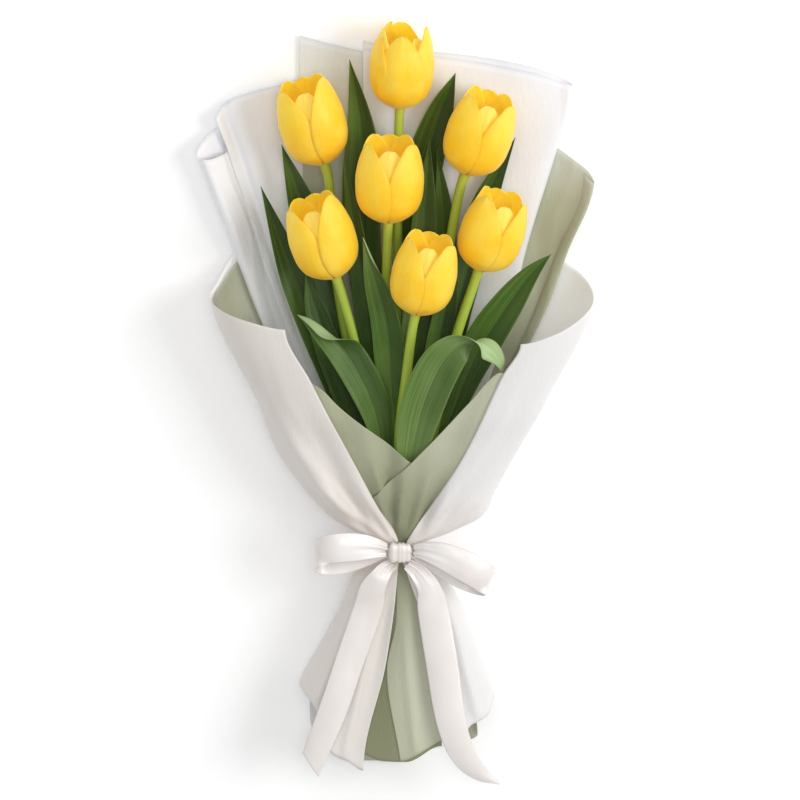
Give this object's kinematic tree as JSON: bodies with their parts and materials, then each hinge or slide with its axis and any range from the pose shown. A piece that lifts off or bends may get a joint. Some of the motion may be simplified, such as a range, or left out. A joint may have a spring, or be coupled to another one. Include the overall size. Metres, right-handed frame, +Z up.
{
  "type": "bunch of tulips",
  "caption": "Bunch of cut tulips with leaves, wrapped in layered paper, tied with a satin ribbon bow and lying on its back.",
  "frame": {"origin": "middle of the bunch's box, on the surface it lies on", "axes": "+X to the bunch's right seen from its front, +Y from the cut stem ends to the flowers, +Z up from the surface through the bunch's front"},
  "size_m": [0.265, 0.5228, 0.0865],
  "materials": {
    "stem": "satin",
    "outer_petal": "satin",
    "inner_petal": "satin",
    "leaf": "satin",
    "white_paper": "matte",
    "sage_paper": "matte",
    "satin_ribbon": "satin"
  },
  "bodies": {
    "root": {"tulip_1_stem": "stem", "tulip_2_stem": "stem", "tulip_3_stem": "stem", "tulip_4_stem": "stem", "tulip_5_stem": "stem", "tulip_6_stem": "stem", "tulip_7_stem": "stem", "tulip_1_outer_petal_a": "outer_petal", "tulip_1_outer_petal_b": "outer_petal", "tulip_1_outer_petal_c": "outer_petal", "tulip_2_outer_petal_a": "outer_petal", "tulip_2_outer_petal_b": "outer_petal", "tulip_2_outer_petal_c": "outer_petal", "tulip_3_outer_petal_a": "outer_petal", "tulip_3_outer_petal_b": "outer_petal", "tulip_3_outer_petal_c": "outer_petal", "tulip_4_outer_petal_a": "outer_petal", "tulip_4_outer_petal_b": "outer_petal", "tulip_4_outer_petal_c": "outer_petal", "tulip_5_outer_petal_a": "outer_petal", "tulip_5_outer_petal_b": "outer_petal", "tulip_5_outer_petal_c": "outer_petal", "tulip_6_outer_petal_a": "outer_petal", "tulip_6_outer_petal_b": "outer_petal", "tulip_6_outer_petal_c": "outer_petal", "tulip_7_outer_petal_a": "outer_petal", "tulip_7_outer_petal_b": "outer_petal", "tulip_7_outer_petal_c": "outer_petal", "tulip_1_inner_petals": "inner_petal", "tulip_2_inner_petals": "inner_petal", "tulip_3_inner_petals": "inner_petal", "tulip_4_inner_petals": "inner_petal", "tulip_5_inner_petals": "inner_petal", "tulip_6_inner_petals": "inner_petal", "tulip_7_inner_petals": "inner_petal", "tulip_1_leaf_a": "leaf", "tulip_1_leaf_b": "leaf", "tulip_2_leaf_a": "leaf", "tulip_2_leaf_b": "leaf", "tulip_3_leaf_a": "leaf", "tulip_3_leaf_b": "leaf", "tulip_4_leaf_a": "leaf", "tulip_4_leaf_b": "leaf", "tulip_5_leaf_a": "leaf", "tulip_5_leaf_b": "leaf", "tulip_6_leaf_a": "leaf", "tulip_6_leaf_b": "leaf", "tulip_7_leaf_a": "leaf", "tulip_7_leaf_b": "leaf", "white_outer_wrap": "white_paper", "white_left_sheet": "white_paper", "white_back_sheet": "white_paper", "sage_back_sheet": "sage_paper", "sage_front_wrap": "sage_paper", "ribbon_band": "satin_ribbon", "ribbon_knot": "satin_ribbon", "ribbon_loop_left": "satin_ribbon", "ribbon_loop_right": "satin_ribbon", "ribbon_tail_left": "satin_ribbon", "ribbon_tail_right": "satin_ribbon"}
  },
  "joints": []
}
